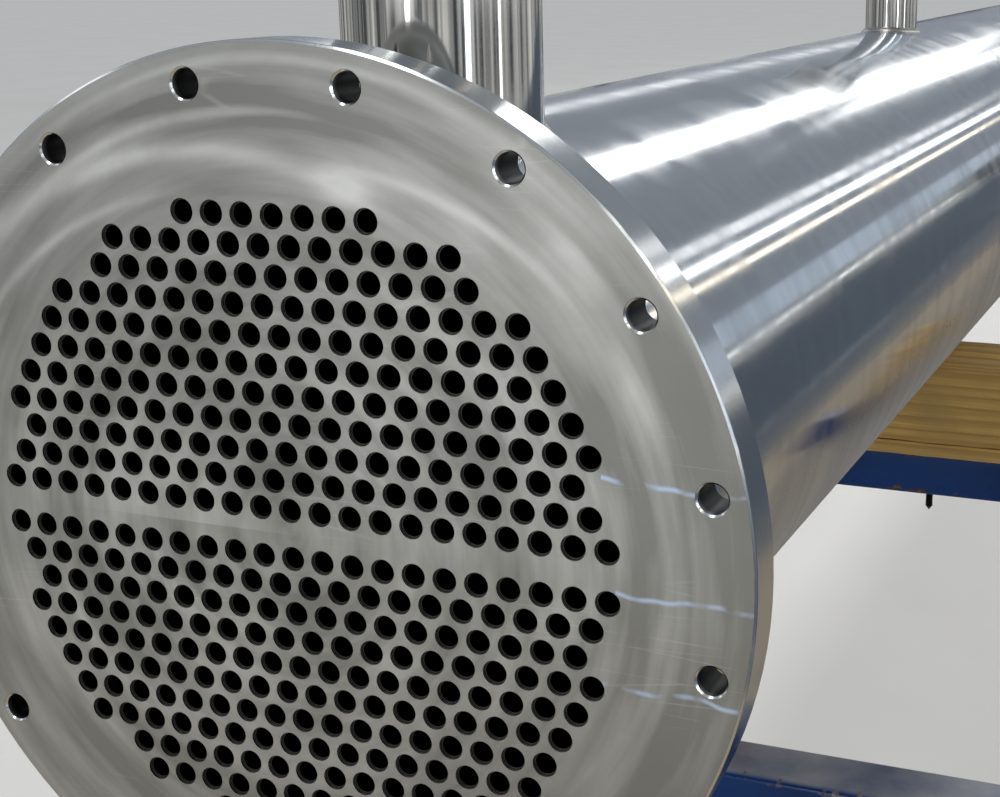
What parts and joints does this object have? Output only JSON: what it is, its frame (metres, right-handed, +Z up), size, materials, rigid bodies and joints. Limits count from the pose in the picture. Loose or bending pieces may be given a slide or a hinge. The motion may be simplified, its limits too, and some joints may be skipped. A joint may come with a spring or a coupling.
{
  "type": "shell and tube heat exchanger",
  "caption": "Horizontal shell and tube heat exchanger with bare drilled tube sheets, a polished round shell and top nozzles, resting on timber over three trestles.",
  "frame": {"origin": "middle of the footprint, on the floor", "axes": "+Z up, +Y along the shell from the front tube sheet to the rear one, +X to the right seen from the front"},
  "size_m": [1.2, 4.877, 1.5],
  "materials": {
    "machined_face": "face-turned stainless steel with arc-shaped tool marks",
    "polished_shell": "polished stainless plate with faint polishing marks round it",
    "nozzle_pipe": "bright polished stainless pipe",
    "weld": "rippled weld bead with a faint heat tint",
    "tube_metal": "drawn stainless tube",
    "inner_plate": "mill-finish stainless plate",
    "blue_paint": "dark blue paint, worn at the edges",
    "timber": "rough-sawn yellowish softwood"
  },
  "bodies": {
    "root": {"front_tube_sheet": "machined_face", "rear_tube_sheet": "machined_face", "shell": "polished_shell", "front_shell_weld": "weld", "rear_shell_weld": "weld", "upper_pass_tubes": "tube_metal", "lower_pass_tubes": "tube_metal", "tie_rods": "inner_plate", "outer_timber_blocks": "timber", "outer_chocks": "timber", "middle_packing_board": "timber", "middle_timbers": "timber", "middle_chocks": "timber", "front_nozzle_neck": "nozzle_pipe", "front_nozzle_weld": "weld", "front_nozzle_flange": "machined_face", "middle_nozzle_neck": "nozzle_pipe", "middle_nozzle_weld": "weld", "middle_nozzle_flange": "machined_face", "rear_nozzle_neck": "nozzle_pipe", "rear_nozzle_weld": "weld", "rear_nozzle_flange": "machined_face", "baffle_1": "inner_plate", "baffle_2": "inner_plate", "baffle_3": "inner_plate", "baffle_4": "inner_plate", "baffle_5": "inner_plate", "baffle_6": "inner_plate", "baffle_7": "inner_plate", "outer_cross_beams": "blue_paint", "outer_posts": "blue_paint", "outer_feet": "blue_paint", "middle_cross_beam": "blue_paint", "middle_posts": "blue_paint", "middle_feet": "blue_paint"}
  },
  "joints": []
}
